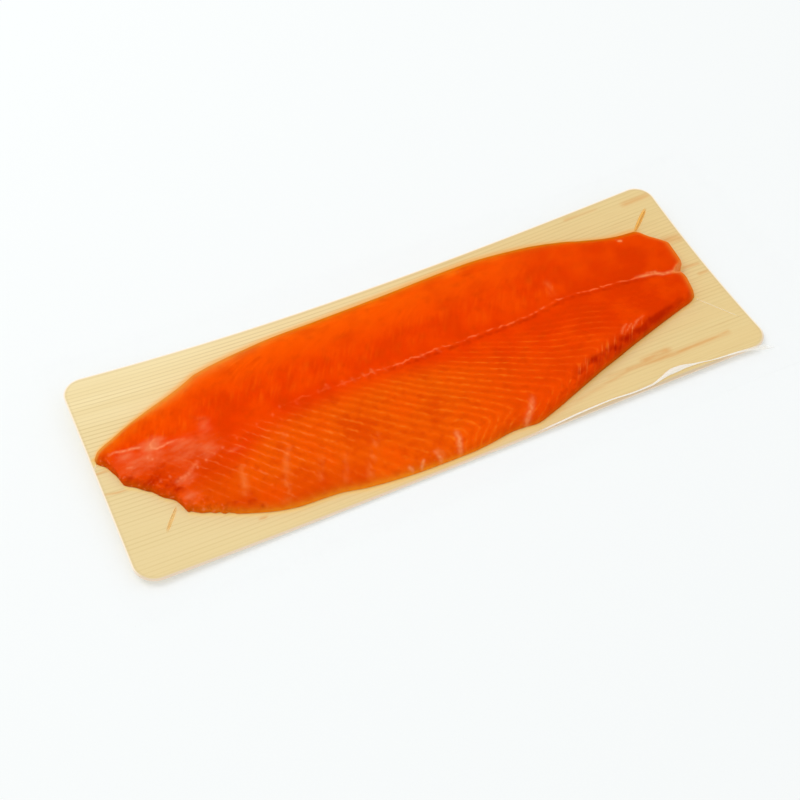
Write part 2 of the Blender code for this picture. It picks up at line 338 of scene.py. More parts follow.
def mark_vector(obj, name, along, across):
    """Stores a flat place in millimetres for each vertex, for a pattern that follows it."""
    kept = obj.data.attributes.new(name, "FLOAT_VECTOR", "POINT")
    flat = np.stack([along, across, 0 * along], 1) * MM
    kept.data.foreach_set("vector", flat.astype(np.float32).ravel())


def stroke(x, y, points, width):
    """1 along a broken line through points (x, y, strength), fading to 0 over width."""
    best = np.zeros(len(x))
    for (ax, ay, a), (bx, by, b) in zip(points, points[1:]):
        dx, dy = bx - ax, by - ay
        t = np.clip(((x - ax) * dx + (y - ay) * dy) / (dx * dx + dy * dy), 0, 1)
        away = np.hypot(x - ax - t * dx, y - ay - t * dy)
        best = np.maximum(best, bump(away, width) * (a + t * (b - a)))
    return best


def spot(x, y, place, size, strength=1.0):
    return bump(np.hypot((x - place[0]) / size[0], (y - place[1]) / size[1]), 1.0) * strength


# --- Camera, light and table ------------------------------------------------------------------

CAMERA_TARGET = Vector((-26.3, -18.7, 1.55)) * MM
CAMERA_AZIMUTH, CAMERA_ELEVATION = np.radians(-25.680), np.radians(50.597)
CAMERA_DISTANCE = 865.7 * MM
CAMERA_LENS, SENSOR_WIDTH = 57.6, 36.0
KEY_PLACE, KEY_SIZE, KEY_POWER = (-0.9, 1.1, 2.4), 1.6, 20
ROOM_LIGHT, TABLE_GLOW = 0.83, 0.345

towards = Vector((
    np.sin(CAMERA_AZIMUTH) * np.cos(CAMERA_ELEVATION),
    -np.cos(CAMERA_AZIMUTH) * np.cos(CAMERA_ELEVATION), np.sin(CAMERA_ELEVATION),
))
bpy.ops.object.camera_add(location=CAMERA_TARGET + towards * CAMERA_DISTANCE)
camera = bpy.context.object
camera.name = "camera"
camera.rotation_euler = towards.to_track_quat("Z", "Y").to_euler()
camera.data.lens, camera.data.sensor_width = CAMERA_LENS, SENSOR_WIDTH
camera.data.clip_start = 0.01
bpy.context.scene.camera = camera

bpy.ops.object.light_add(type="AREA", location=KEY_PLACE)
key = bpy.context.object
key.name = "key softbox"
key.data.size, key.data.energy = KEY_SIZE, KEY_POWER
key.rotation_euler = Vector(KEY_PLACE).to_track_quat("Z", "Y").to_euler()
key.visible_glossy = False  # it lights the piece but doesn't show in reflections

world = bpy.data.worlds.new("studio")
bpy.context.scene.world = world
world.use_nodes = True
world.node_tree.nodes["Background"].inputs["Color"].default_value = hex_colour("#FCFDFF")
world.node_tree.nodes["Background"].inputs["Strength"].default_value = ROOM_LIGHT


def studio_paper():
    """Matt white paper lit from behind as well, so that shadows on it stay faint."""
    material, add = new_material("matt studio paper")
    grain = add("TexNoise", {"Vector": add("TexCoord", out="Object"), "Scale": 900.0,
                             "Detail": 2.0}, out="Fac")
    shader = add("BsdfPrincipled", {
        "Base Color": painted(add, "#CBCDCC", [(grain, "#CED0CF")]), "Roughness": 0.9,
        "Specular IOR Level": 0.0, "Emission Color": "#FCFEFD", "Emission Strength": TABLE_GLOW,
    })
    add("OutputMaterial", {"Surface": shader})
    return material


bpy.ops.object.select_all(action="DESELECT")
bpy.ops.mesh.primitive_plane_add(size=8)
table = bpy.context.object
table.name = "table"
table.data.materials.append(studio_paper())


# --- Fillet -----------------------------------------------------------------------------------

FLESH_COLUMNS, FLESH_ROWS, UNDER_ROWS = 560, 150, 12
TORN_SIZE, TORN_JITTER, FINE_CRAGS = 2.6, 1.5, 0.4  # raggedness of the head end's rim
RANDOM_CELLS = 96


FLESH_MARKS = ("aside", "segment", "back", "belly", "low", "tail", "rim", "walls", "milk", "comb_glint",
               "folded", "hair", "rimward", "dashes", "fat", "cut", "near_fat_and_glow", "foot_shade", "torn",
               "shade_and_blood", "rosy", "ribs", "pale")


def flesh_material():
    """Raw salmon muscle under clinging film: deep orange, no gloss of its own, with lighter walls
    of connective tissue between the segments, milky membrane at the head end and amber at the rims,
    partly fat and partly painted glow; with painted shade, highlights and glints in its folds and
    pits."""
    material, add = new_material("raw salmon muscle, wet cut")
    marks = {name: add("Attribute", out="Fac", attribute_name=name) for name in FLESH_MARKS}
    fibre = add("Attribute", out="Vector", attribute_name="fibre")
    slant = add("Attribute", out="Vector", attribute_name="slant")
    cloud, mottle, speckle = blotches(add, 22, 3.0), blotches(add, 6, 3.0), blotches(add, 1.6)
    torn = blotches(add, 2.6)

    # fine fibres of the back, long streaks beside its edge
    fine = add("Mix", {0: marks["rimward"], 6: blotches(add, (1.3, 14, 10), 4.0, fibre),
                       7: blotches(add, (20, 2.4, 10), 3.0)}, **TINT)

    # light and dark sides of a pattern: from where to where it shows, and how much of it
    sides = {}
    for side, pattern, low, high, top in (
        ("cloud light", cloud, 0.42, 0.66, 0.4), ("cloud dark", cloud, 0.5, 0.3, 0.5),
        ("mottle dark", mottle, 0.5, 0.72, 0.42),
        ("hair light", fine, 0.5, 0.68, 1), ("hair dark", fine, 0.5, 0.32, 1),
        # the torn rim's dark and light blotches: painted shade in its pits, painted glints on its
        # bumps
        ("torn dark", torn, 0.5, 0.36, 1), ("torn light", torn, 0.58, 0.72, 1),
    ):
        sides[side] = add("MapRange", {0: pattern, 1: low, 2: high, 3: 0, 4: top}, **EASED)
        tissue = side.split()[0]
        if tissue in marks:
            sides[side] = add("Math", {0: sides[side], 1: marks[tissue]}, operation="MULTIPLY")

    # walls between the segments of the belly: soft, stepped and broken
    wobble = marks["segment"]
    for size, share in ((7, 0.5), (2.0, 0.52)):
        wobble = add("Math", {0: blotches(add, size), 1: share, 2: wobble}, operation="MULTIPLY_ADD")
    wobble = add("Math", {0: wobble, 1: 0.01}, operation="SUBTRACT")
    from_wall = add("Math", {0: wobble, 1: 0.5}, operation="PINGPONG")
    broken = add("Math", {0: patches(add, 4.5, 0.4, 0.64, 0.16, 1.0, 1.0),
                          1: patches(add, 17, 0.36, 0.56, 0.45, 1.0)}, operation="MULTIPLY")
    broken = add("Math", {0: marks["walls"], 1: broken}, operation="MULTIPLY")
    wall = add("MapRange", {0: from_wall, 1: 0.17, 2: 0.02}, **EASED)
    wall = add("Math", {0: wall, 1: broken}, operation="MULTIPLY")
    amid = add("MapRange", {0: from_wall, 1: 0.22, 2: 0.45}, **EASED)
    amid = add("Math", {0: amid, 1: marks["walls"]}, operation="MULTIPLY")

    # rosy membrane and dark red (partly blood, partly painted shade): their marks with ragged edges,
    # and none of them outside the marks
    for name, rough, spread, drop, full, start, end in (
        ("rosy", blotches(add, (9, 4, 6), 4.0), 0.8, -0.4, 0.3, 0.0, 0.9),
        ("shade_and_blood", blotches(add, 2.8, 3.0), 0.9, -0.45, 0.2, 0.1, 0.95),
    ):
        ragged = add("Math", {0: rough, 1: spread, 2: drop}, operation="MULTIPLY_ADD")
        ragged = add("Math", {0: marks[name], 1: ragged}, operation="ADD")
        ragged = add("MapRange", {0: ragged, 1: start, 2: end}, **EASED)
        within = add("MapRange", {0: marks[name], 1: 0.0, 2: full}, **EASED)
        marks[name] = add("Math", {0: ragged, 1: within}, operation="MULTIPLY")

    # midline: a thin pale wall that steps to and fro
    swing = add("Math", {0: blotches(add, (4, 40, 40), 1.0), 1: 4.6, 2: -2.3},
                operation="MULTIPLY_ADD")
    shiver = add("Math", {0: speckle, 1: 1.8, 2: -0.9}, operation="MULTIPLY_ADD")
    swing = add("Math", {0: swing, 1: shiver}, operation="ADD")
    off = add("Math", {0: marks["aside"], 1: swing}, operation="SUBTRACT")
    off = add("Math", {0: off}, operation="ABSOLUTE")
    on_line = add("MapRange", {0: off, 1: 0.95, 2: 0.15}, **EASED)
    marks["dashes"] = add("Math", {0: on_line, 1: marks["dashes"]}, operation="MULTIPLY")

    # tissues that show in patches, among them the painted shade and painted highlights of the folded
    # walls along the tail's near side
    for name, shown in (
        ("folded", patches(add, (2.6, 12, 10), 0.62, 0.4, 0.6, 1.0, along=slant)),
        ("comb_glint", patches(add, (1.5, 16, 10), 0.56, 0.72, detail=1.0, along=slant)),
        ("ribs", patches(add, (5, 8, 9), 0.3, 0.62)),
        ("fat", patches(add, (4, 2.5, 6), 0.3, 0.6, 0.75, 1.0)),
        ("near_fat_and_glow", patches(add, (5, 3, 3), 0.3, 0.6, 0.7, 1.0)),
        ("dashes", patches(add, (4, 9, 9), 0.42, 0.58, 0.06, 0.8, 1.0)),
        ("pale", patches(add, 2.2, 0.3, 0.6, 0.4, 1.0, 3.0)),
    ):
        marks[name] = add("Math", {0: marks[name], 1: shown}, operation="MULTIPLY")
    faint = {name: add("Math", {0: mask, 1: share}, operation="MULTIPLY")
             for name, mask, share in (("amid", amid, 0.27), ("wall", wall, 0.47),
                                       ("ribs", marks["ribs"], 0.8))}
    # connective tissue and fat turn milky towards the head end
    wall_paint, fat_paint, pale_paint = (
        add("Mix", {0: marks["milk"], 6: clear, 7: milky}, **TINT)
        for clear, milky in (("#FF861E", "#FF8E48"), ("#CE8214", "#E2943A"),
                             ("#F8985A", "#FF9C66")))

    colour = painted(add, "#EC3A00", (
        (marks["back"], "#FA5600"), (marks["belly"], "#F25A02"), (marks["tail"], "#DF3500"),
        (marks["rim"], "#F57C0C"), (marks["low"], "#DC4200"),
        (sides["cloud light"], "#FC5000"), (sides["cloud dark"], "#DE3800"),
        (sides["mottle dark"], "#D93A00"),
        (sides["hair light"], "#FF7E14"), (sides["hair dark"], "#D23200"),
        (faint["amid"], "#D64400"), (faint["wall"], wall_paint),
        # painted shade in the folds along the tail's near side, and painted highlights on them
        (marks["folded"], "#AC1200"), (marks["comb_glint"], "#F87430"),
        # pale ribs, rosy membrane, and dark red that is partly blood and partly painted shade
        (faint["ribs"], "#F88E44"), (marks["rosy"], "#F07848"), (marks["shade_and_blood"], "#BC2200"),
        # amber fat; lighter amber at the tail's cut and near rim, partly painted glow; painted shade
        # at the rim's foot
        (marks["fat"], fat_paint), (marks["cut"], "#F4922E"), (marks["near_fat_and_glow"], "#FF9E22"),
        (marks["foot_shade"], "#A86206"),
        # painted shade in the torn rim's pits and painted glints on its bumps
        (sides["torn dark"], "#B83802"), (sides["torn light"], "#FF9468"),
        # pale midline dashes, and pale tissue with painted glints among it
        (marks["dashes"], "#FC6E38"), (marks["pale"], pale_paint),
    ))

    height = add("Math", {0: fine, 1: 0.5, 2: wall}, operation="MULTIPLY_ADD")
    height = add("Math", {0: speckle, 1: 0.3, 2: height}, operation="MULTIPLY_ADD")
    relief = add("Bump", {"Height": height, "Strength": 0.35, "Distance": 0.25 * MM})
    rough = add("MapRange", {0: mottle, 1: 0.2, 2: 0.8, 3: 0.35, 4: 0.5}, **EASED)
    shader = add("BsdfPrincipled", {
        "Base Color": colour, "Roughness": rough, "IOR": 1.38, "Specular IOR Level": 0.0,
        "Normal": relief,
    })
    add("OutputMaterial", {"Surface": shader})
    return material


def rough_noise(x, y, size, seed):
    """Smooth random heights from 0 to 1, with bumps of about this size."""
    cells = np.random.default_rng(seed).random((RANDOM_CELLS, RANDOM_CELLS))
    u, v = x / size + 400, y / size + 400  # away from negative cells
    i, j = np.floor(u).astype(int), np.floor(v).astype(int)
    s, t = ease(u - i), ease(v - j)
    i, j, k, m = (n % RANDOM_CELLS for n in (i, j, i + 1, j + 1))
    return ((cells[i, j] * (1 - s) + cells[k, j] * s) * (1 - t)
            + (cells[i, m] * (1 - s) + cells[k, m] * s) * t)


def make_fillet():
    """A fine sheet for the top and a coarse one for the underside, closed at both ends."""
    sheets = []
    for rows in (FLESH_ROWS, UNDER_ROWS):
        sheet = flat_grid("fillet_flesh", FLESH_COLUMNS, rows)
        flat = (corners(sheet) + 1) / 2
        # rows crowd towards both long edges, columns towards both ends
        spread = (1 - np.cos(np.pi * flat[:, 1])) / 2
        across = 0.55 * spread + 0.45 * flat[:, 1]
        even = flat[:, 0]
        along = 0.8 * even + 0.2 * (1 - np.cos(np.pi * even)) / 2
        x, y = plan(along, across)
        torn = (rough_noise(x, 0 * x, TORN_SIZE, 7) - 0.5) * ease((-x - 150) / 20)
        # the jitter is in plan only: the thickness is that of the even rim, so the sheets meet
        level = y
        y = y + TORN_JITTER * torn * bump(y - belly_edge(x), 4)
        rise = 0
        if rows == FLESH_ROWS:
            rise = thickness(x, level, across)
            fine_crags = rough_noise(x, y, 4.5, 5) + 0.4 * rough_noise(x, y, 2, 6) - 0.7
            rise = rise + fine_crags * FINE_CRAGS * ragged_rim(x, y) * ease(rise / 3)
        shape(sheet, x, y, curl(x, y) + FILLET_BASE + rise)
        sheets.append(sheet)
    bpy.ops.object.select_all(action="DESELECT")
    for sheet in sheets:
        sheet.select_set(True)
    flesh = sheets[0]
    bpy.context.view_layer.objects.active = flesh
    bpy.ops.object.join()
    # close each end: the loose edges of both sheets there are bridged
    for end in (-1, 1):
        bpy.ops.object.mode_set(mode="EDIT")
        bpy.ops.mesh.select_mode(type="EDGE")
        bpy.ops.mesh.select_all(action="DESELECT")
        bpy.ops.object.mode_set(mode="OBJECT")
        select_end(flesh, end)
        bpy.ops.object.mode_set(mode="EDIT")
        bpy.ops.mesh.bridge_edge_loops()
        bpy.ops.object.mode_set(mode="OBJECT")
    bpy.ops.object.mode_set(mode="EDIT")
    bpy.ops.mesh.select_all(action="SELECT")
    bpy.ops.mesh.remove_doubles(threshold=0.002 * MM)
    bpy.ops.mesh.normals_make_consistent(inside=False)
    bpy.ops.object.mode_set(mode="OBJECT")
    bpy.ops.object.shade_smooth_by_angle(angle=np.radians(50))
    return flesh


def select_end(flesh, end):
    """Selects the loose edges across both sheets at the head (-1) or the tail (1)."""
    mesh = flesh.data
    first = (FLESH_COLUMNS + 1) * (FLESH_ROWS + 1)
    column = np.arange(len(mesh.vertices))
    column = np.where(column < first, column, column - first) % (FLESH_COLUMNS + 1)
    wanted = 0 if end < 0 else FLESH_COLUMNS
    pairs = np.empty(len(mesh.edges) * 2, np.int32)
    mesh.edges.foreach_get("vertices", pairs)
    at_end = (column[pairs.reshape(-1, 2)] == wanted).all(1)
    mesh.edges.foreach_set("select", at_end)


# The belly's lighter flesh starts this far below the flank's top
BELLY_START = curve(((-220, 30), (-165, 27), (-140, 20), (-115, 7), (-60, 4), (-15, 6), (35, 18),
                     (85, 28), (120, 32)))
# Amber along the rims: how far the fat reaches in from the back's edge, how strong the amber on the
# wall of the near rim is, partly fat and partly painted glow, and the painted shade at that wall's
# foot
FAT_REACH = curve(((-228, 2.2), (-200, 2.6), (-170, 6.5), (-120, 7.6), (-60, 6.5), (0, 5.8),
                   (110, 5.4), (150, 4.4), (210, 2.6)))
NEAR_FAT_AND_GLOW = curve(((-228, 0.02), (-195, 0.04), (-172, 0.45), (-135, 0.8), (-60, 0.9), (-10, 0.75),
                  (25, 0.45), (60, 0.3), (90, 0.12), (210, 0.1)))
NEAR_FOOT_SHADE = curve(((-228, 0.4), (-200, 0.45), (-180, 0.3), (-150, 0.1), (-60, 0), (0, 0.1),
                    (60, 0.35), (110, 0.75), (150, 0.6), (190, 0.4), (210, 0.3)))

# Marks on the flesh: x, y and strength of each point, and the width in millimetres
# Pale membrane lines at the head end, partly painted glints
MEMBRANE_AND_GLINT_LINES = (
    (((-219, 10.5, 0.3), (-214.7, 10.9, 0.6), (-209.1, 8.9, 0.9), (-204.3, 8.5, 0.8),
      (-198.8, 6.7, 0.6)), 0.9),
    (((-189, 8.5, 0.4), (-192.5, 6, 0.7), (-192.5, 3, 0.8), (-190, 1.2, 0.9), (-186, 1, 0.9),
      (-183, 2, 0.9), (-177, 1.6, 0.5), (-171, 0.2, 0.2)), 0.8),
    (((-186.5, -26.5, 0.3), (-178, -24.5, 0.5), (-170, -19, 0.3)), 1.3),
    (((-187, -29, 0.15), (-181, -27, 0.35)), 0.9),
    (((-211.5, -3.5, 0.3), (-208.5, -4.3, 0.4)), 0.8),
)
# Small pale specks, partly pale tissue and partly painted glints
PALE_AND_GLINT_SPECKS = (
    (-197, -2.4, 0.6), (-194.8, -4.6, 0.6), (-195.3, -21.3, 0.6), (-189, -21, 0.5),
    (-183.5, -25.4, 0.7), (-177.3, -24.7, 0.6), (-171, -22.4, 0.65), (-164.1, -20.1, 0.75),
    (-157.9, -18.2, 0.5), (-151.2, -16, 0.55), (-140.5, -13.2, 0.25), (-125, -9.5, 0.25),
    (-113, -7.2, 0.35), (-106.5, -3.5, 0.3), (-78.8, -3.4, 0.25),
)
RIBS = (
    (((-145.4, -34, 0.3), (-148, -46, 0.5), (-150.3, -52, 0.3)), 2.2),
    (((-113, -33, 0.3), (-118, -41, 0.35), (-123, -54, 0.4), (-127, -66, 0.3)), 2.2),
    (((-96, -46, 0.2), (-103, -62, 0.25)), 2.0),
    (((-80.9, -51.9, 0.15), (-88.6, -69, 0.25)), 2.0),
    (((-57, -46, 0.3), (-64, -58, 0.45), (-73, -72, 0.35)), 2.2),
    (((-26, -72, 0.3), (-23, -77, 0.4)), 1.6),
    (((108, 19, 0.25), (107, 10, 0.3)), 2.6),
)
ROSY = (
    (-210, 5, 8, 4, 0.55), (-192, 5, 8, 6, 0.8), (-197, -3, 6, 4, 0.6), (-176, -3, 9, 5, 0.5),
    (-156, 5, 6, 11, 0.3), (-161, -14, 9, 6, 0.5), (-180, -28, 10, 6, 0.3),
    (-181, -40, 8, 5, 0.4), (-145, -20, 7, 3, 0.3), (-112, -22, 5, 10, 0.15),
    (-200, -3, 20, 10, 0.38), (-172, -8, 22, 13, 0.33),
)
# Dark red spots, partly blood and partly painted shade in the folds and torn rim of the head end
SHADE_AND_BLOOD = (
    (-200, -20, 13, 6, 0.6), (-189, -32, 6, 3, 0.7), (-213, -12, 5, 4, 0.6),
    (-188, 15, 6, 3, 0.3), (-193, -12, 9, 4, 0.4),
    (-164, -54, 3.5, 2, 0.5), (-158.5, -55.5, 3, 2, 0.5), (-148.5, -59, 4, 2.4, 0.55),
    (-143, -64, 2.5, 1.6, 0.5), (-189, -26, 8, 5, 0.6), (-170, 24, 12, 3, 0.25),
)
# Pale streaks at the belly's rim and the tail; the one at x 180 is a painted glint
PALE_STREAKS_AND_GLINT = (
    (((51.7, -60.6, 0.1), (49, -65, 0.5), (45.5, -70, 0.75), (39, -76.3, 0.6)), 1.7),
    (((-8, -66, 0.5), (-8.5, -71, 0.75), (-11.5, -78.3, 0.7)), 1.6),
    (((-27.2, -73.5, 0.5), (-25.8, -78.8, 0.7)), 1.3),
    (((-47.5, -76.8, 0.7), (-46, -78.3, 0.7)), 0.9),
    (((-37, -76.2, 0.7), (-39.5, -78.8, 0.8)), 0.9),
    (((134.6, -39.5, 0.3), (138.5, -35.5, 0.35), (141.7, -33.8, 0.2)), 0.9),
    (((139.5, -39, 0.3), (145.5, -34.6, 0.35)), 0.7),
    (((144.8, -38, 0.35), (150.5, -34.2, 0.4), (157.3, -31.5, 0.15)), 0.9),
    (((172, 1.2, 0.2), (177.7, 0.4, 0.8), (187, -0.6, 0.9), (192, -3.4, 0.9), (199.6, -3.8, 0.8),
      (206, -6.3, 0.6)), 1.1),
    (((181, 1.8, 0.5), (188, 0.4, 0.7)), 0.8),
    # a painted glint
    (((179.2, 36.9, 0.95), (180.6, 36.4, 0.95)), 1.1),
    (((203.5, -3, 0.9), (212.5, 1.8, 0.6)), 1.6),
)
# Painted shade in the folds of the walls along the tail's near side: dark patches
FOLD_SHADE = (
    (92, -56, 5, 3, 0.5), (105.5, -52, 6, 3.2, 1.0), (114, -51, 4, 2.8, 0.65),
    (124, -48.3, 7, 2.8, 0.95), (135.5, -44, 7, 2.8, 1.0), (150, -41, 8, 2.2, 0.8),
    (164, -35.8, 8, 2.2, 0.9),
)
# Short pale spurs that run down from the midline: x, y of the top, strength
SPURS = (
    (-95, -5, 0.12), (-72, -1.5, 0.25), (-61, -3.5, 0.25), (-54, -3.6, 0.25), (-46, -3.6, 0.25),
    (-39.5, -3, 0.5), (-31, -4.5, 0.2), (-22, -4.5, 0.15), (-3, -4.5, 0.2), (9, -5, 0.2),
)
# Dark red along the groove of the tail's belly side, painted shade: x, y and strength of each point
BELLY_GROOVE = ((57, -74, 0.15), (66, -69.5, 0.35), (77.6, -63.5, 0.4), (87.2, -58.4, 0.4),
                (99.4, -54, 0.45), (105.7, -51.4, 0.45), (121.3, -47.4, 0.5), (137, -43.4, 0.6),
                (152.6, -39.6, 0.9), (168.3, -34.8, 0.95), (179, -32, 0.7), (190.2, -29.3, 0.5),
                (200, -26.5, 0.2))


def strokes(x, y, marks):
    return np.max([stroke(x, y, points, width) for points, width in marks], 0)


def spots(x, y, marks):
    """Oval spots: x, y, half sizes along x and y, strength."""
    return np.max([spot(x, y, (cx, cy), (wide, deep), strength)
                   for cx, cy, wide, deep, strength in marks], 0)


def mark_flesh(flesh):
    """Tells the material where each kind of tissue lies."""
    place = corners(flesh) / MM
    x, y = place[:, 0], place[:, 1]
    near, far = belly_edge(x), back_edge(x)
    across = np.clip((y - near) / (far - near), 0, 1)
    seam = y - midline(x)
    aside = y - flank(x)
    depth = np.maximum(-aside, 0)
    from_belly, from_back, from_cut = y - near, far - y, tail_cut(across) - x
    headward = ease((-x - 60) / 90)
    mark(flesh, "aside", seam)
    mark(flesh, "segment", segments(x, y))
    mark(flesh, "back", ease((aside - 14) / 36) * (1 - 0.8 * ease((x + 30) / 200))
         + 0.5 * ease((-x - 150) / 30) * ease((aside - 3) / 14))
    mark(flesh, "belly", ease((depth - BELLY_START(x)) / 18) * (1 - 0.75 * ease((x + 5) / 70)))
    mark(flesh, "low", np.maximum(0.75 * ease(1 - from_belly / 30) * ease((-x - 60) / 50),
                                  0.6 * ease(depth / 8) * ease((-x - 135) / 30)))
    mark(flesh, "tail", ease((x - 70) / 120))
    mark(flesh, "rim", ease(1 - from_back / 17) * (0.3 + 0.45 * headward)
         * (1 - 0.75 * ease((x - 60) / 90)))
    left = ease((-x - 10) / 50)
    walls = ease((depth - 9 + 5 * left) / 17) * (0.4 + 0.6 * ease((x + 170) / 60))
    walls = walls * (1 - 0.5 * ease((x - 30) / 60)) * (1 - 0.5 * left * ease((depth - 38) / 22))
    hooked = 0.8 * ease((x - 40) / 30) * bump(from_belly - 7, 6)
    mark(flesh, "walls", np.maximum(walls, hooked) * (1 - ease((x - 122) / 20)))
    mark(flesh, "milk", ease((-x - 50) / 90))
    # lighter streaks: painted highlights on the folded walls along the tail's near side
    mark(flesh, "comb_glint", 0.6 * ease((x - 80) / 16) * ease((172 - x) / 26)
         * bump(from_belly - side_groove(x) - 1, 4.2))
    # dark patches: painted shade in the folds of the walls along the tail's near side
    mark(flesh, "folded", spots(x, y, FOLD_SHADE))
    mark_vector(flesh, "slant", x - 0.8 * from_belly, from_belly)
    fibrous = ease(aside / 8) * (0.17 + 0.03 * headward) * (1 - 0.6 * ease((x - 100) / 50))
    mark(flesh, "hair", fibrous + 0.18 * ease((aside - 32) / 16))
    mark(flesh, "rimward", ease((aside - 42) / 14))
    # the back's fibres lean towards the tail, more so near the edge
    lean = 0.6 * aside + 0.035 * np.maximum(aside - 24, 0) ** 2
    steep = 1 + 0.4 * ease((-x - 80) / 60)
    mark_vector(flesh, "fibre", x - lean / steep, aside)
    mark(flesh, "dashes", (0.35 * ease((x + 115) / 20) + 0.65 * ease((x + 58) / 40))
         * (1 - 0.8 * ease((x - 168) / 10)))
    height = place[:, 2] - curl(x, y) - FILLET_BASE
    # amber fat covers the back's round side, and ends this far in from its edge
    hidden = 2.5 + 1.5 * ease((x + 100) / 60)
    far_fat = 0.95 * bump(np.maximum(from_back - hidden, 0), FAT_REACH(x))
    far_fat = far_fat * (1 - 0.5 * ease((x - 150) / 40))
    mark(flesh, "fat", far_fat * (0.65 + 0.35 * ease(from_back / 3)))
    # lighter orange along the tail's cut: a painted glow of light through the thin cut edge
    mark(flesh, "cut", 0.7 * bump(np.maximum(from_cut - 1, 0), 3.4))
    low_wall = ease(1.2 - from_belly / 7)
    reach = 3.6 - 1.2 * ease((x + 60) / 60)
    # amber on the near rim's low wall: partly fat, partly a painted glow of light through the thin
    # edge
    mark(flesh, "near_fat_and_glow", NEAR_FAT_AND_GLOW(x) * bump(height, reach) * low_wall)
    # darker brown at the foot of the near wall, and along the back's rim, where the flesh meets the
    # board: painted shade
    foot_shade = NEAR_FOOT_SHADE(x) * bump(height, 3.2) * low_wall
    mark(flesh, "foot_shade", np.maximum(foot_shade, 0.3 * bump(from_back - 2.5, 4) * ease((x - 70) / 60)))
    mark(flesh, "torn", 0.32 * ragged_rim(x, y) ** 1.5)
    # dark red along the rims, below the midline and in the belly's groove: painted shade; the spots
    # are partly blood
    near_rim = 0.45 * ease((-x - 182) / 12) * bump(from_belly - 3, 4)
    tail_rim = 0.3 * ease((x - 60) / 30) * bump(from_belly - 2.5, 3)
    beside = 0.42 * bump(seam + 2.6, 3) * ease((x + 70) / 50) * (1 - ease((x - 180) / 20))
    groove = 0.9 * stroke(x, y, BELLY_GROOVE, 2.4)
    mark(flesh, "shade_and_blood", np.max([groove, spots(x, y, SHADE_AND_BLOOD), near_rim, tail_rim, beside], 0))
    mark(flesh, "rosy", spots(x, y, ROSY))
    mark(flesh, "ribs", strokes(x, y, RIBS))
    pale_and_glint_specks = spots(x, y, [(cx, cy, 0.7, 1.0, 0.8 * strength) for cx, cy, strength in PALE_AND_GLINT_SPECKS])
    spurs = strokes(x, y, [(((cx - 0.4, cy + 0.8, k), (cx + 1.2, cy - 3, 0.2 * k)), 0.8)
                           for cx, cy, k in SPURS])
    # pale membrane, tissue and streaks, with painted glints among them
    mark(flesh, "pale", np.max([0.85 * strokes(x, y, MEMBRANE_AND_GLINT_LINES), pale_and_glint_specks, spurs,
                                strokes(x, y, PALE_STREAKS_AND_GLINT)], 0))


flesh = make_fillet()
mark_flesh(flesh)
flesh.data.materials.append(flesh_material())
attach(flesh, "root")
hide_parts("fillet")


# --- Board ------------------------------------------------------------------------------------

BOARD_COLUMNS, BOARD_ROWS = 200, 230
GRAIN_PITCH = 3.2  # embossed lines along the board
EDGE_EASE, CORNER_COLUMNS = 0.25, 16
# Darker streaks of the printed grain: x, y and strength of each point, and the width
KNOT_STREAKS = (
    (((112, -63, 0.3), (160, -65, 0.9), (208, -64.4, 0.7)), 2.0),
    (((141, -61.6, 0.9), (160, -60.6, 0.9)), 3.0),
    (((126, -63.4, 0.8), (139, -63.7, 0.7)), 1.8),
    (((60, -76, 0.2), (128, -64, 0.5)), 1.5),
    (((208, 74, 0.7), (228, 74, 0.6)), 2.6),
    (((217, 30, 0.9), (227, 29, 0.7)), 3.5),
    (((211, 2, 0.9), (227, 1, 0.8)), 1.2),
    (((222, -8, 0.8), (229, -8, 0.6)), 1.2),
    (((160, 80, 0.6), (185, 79, 0.3)), 1.2),
    (((-231, 3, 0.9), (-218, 3.4, 0.6)), 0.8),
    (((-231, -14, 0.4), (-222, -15.5, 0.9), (-214, -15.5, 0.5)), 0.8),
    (((-146.5, -69, 0.9), (-144, -69.3, 0.9)), 0.9),
)


